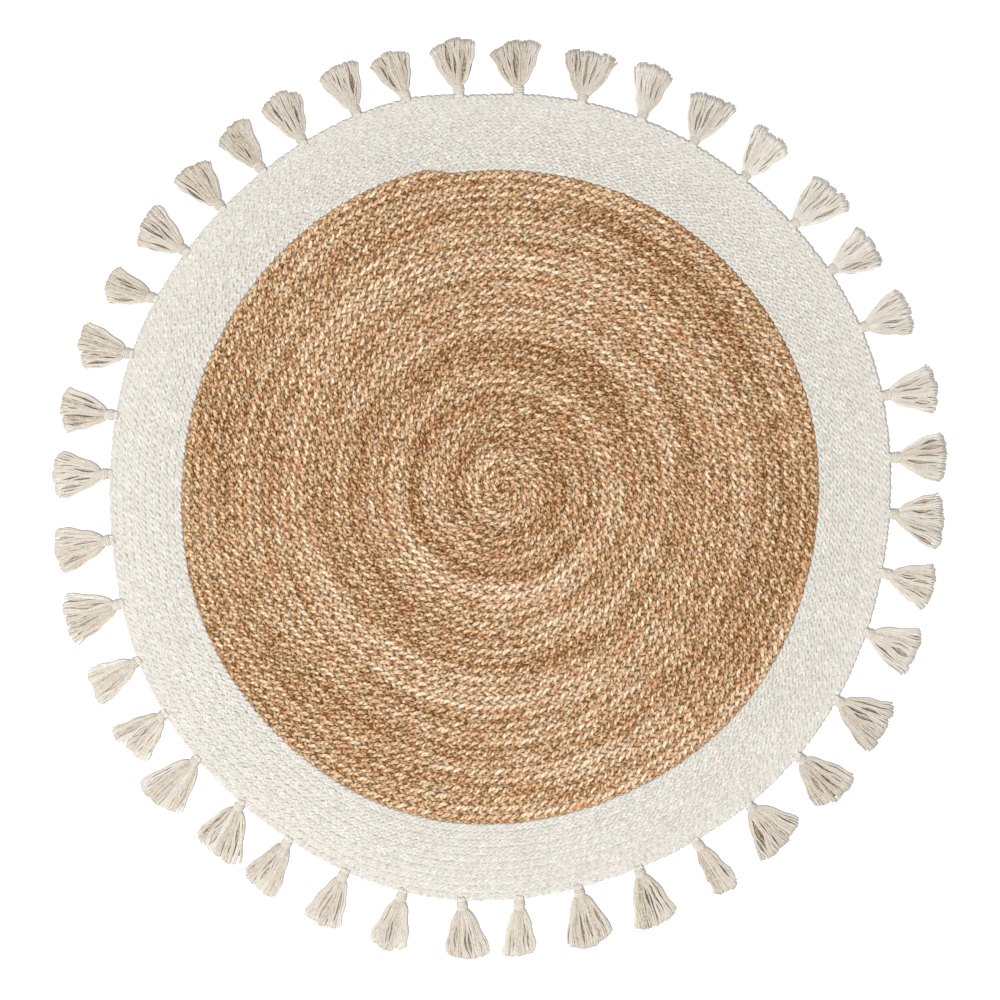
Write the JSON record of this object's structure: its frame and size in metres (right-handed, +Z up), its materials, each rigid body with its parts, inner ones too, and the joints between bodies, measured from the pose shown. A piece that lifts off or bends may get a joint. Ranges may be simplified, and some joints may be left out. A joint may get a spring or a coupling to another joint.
{
  "type": "round braided jute rug with tassels",
  "caption": "Flat round rug: a coiled jute braid centre, a coiled white cotton braid border, and cotton tassels knotted round the rim.",
  "frame": {"origin": "on the floor, under the middle of the whole outline with its tassels", "axes": "+Z up out of the floor, +Y towards the top of the picture, +X to its right"},
  "size_m": [1.3445, 1.3869, 0.01],
  "materials": {
    "jute": "matt natural jute braid, golden tan with darker pits",
    "cotton_braid": "matt off-white cotton braid",
    "tassel_cotton": "matt cream cotton yarn"
  },
  "bodies": {
    "root": {"jute_centre": "jute", "white_border": "cotton_braid", "tassel_01": "tassel_cotton", "tassel_02": "tassel_cotton", "tassel_03": "tassel_cotton", "tassel_04": "tassel_cotton", "tassel_05": "tassel_cotton", "tassel_06": "tassel_cotton", "tassel_07": "tassel_cotton", "tassel_08": "tassel_cotton", "tassel_09": "tassel_cotton", "tassel_10": "tassel_cotton", "tassel_11": "tassel_cotton", "tassel_12": "tassel_cotton", "tassel_13": "tassel_cotton", "tassel_14": "tassel_cotton", "tassel_15": "tassel_cotton", "tassel_16": "tassel_cotton", "tassel_17": "tassel_cotton", "tassel_18": "tassel_cotton", "tassel_19": "tassel_cotton", "tassel_20": "tassel_cotton", "tassel_21": "tassel_cotton", "tassel_22": "tassel_cotton", "tassel_23": "tassel_cotton", "tassel_24": "tassel_cotton", "tassel_25": "tassel_cotton", "tassel_26": "tassel_cotton", "tassel_27": "tassel_cotton", "tassel_28": "tassel_cotton", "tassel_29": "tassel_cotton", "tassel_30": "tassel_cotton", "tassel_31": "tassel_cotton", "tassel_32": "tassel_cotton", "tassel_33": "tassel_cotton", "tassel_34": "tassel_cotton", "tassel_35": "tassel_cotton", "tassel_36": "tassel_cotton", "tassel_37": "tassel_cotton", "tassel_38": "tassel_cotton", "tassel_39": "tassel_cotton", "tassel_40": "tassel_cotton", "tassel_41": "tassel_cotton"}
  },
  "joints": []
}
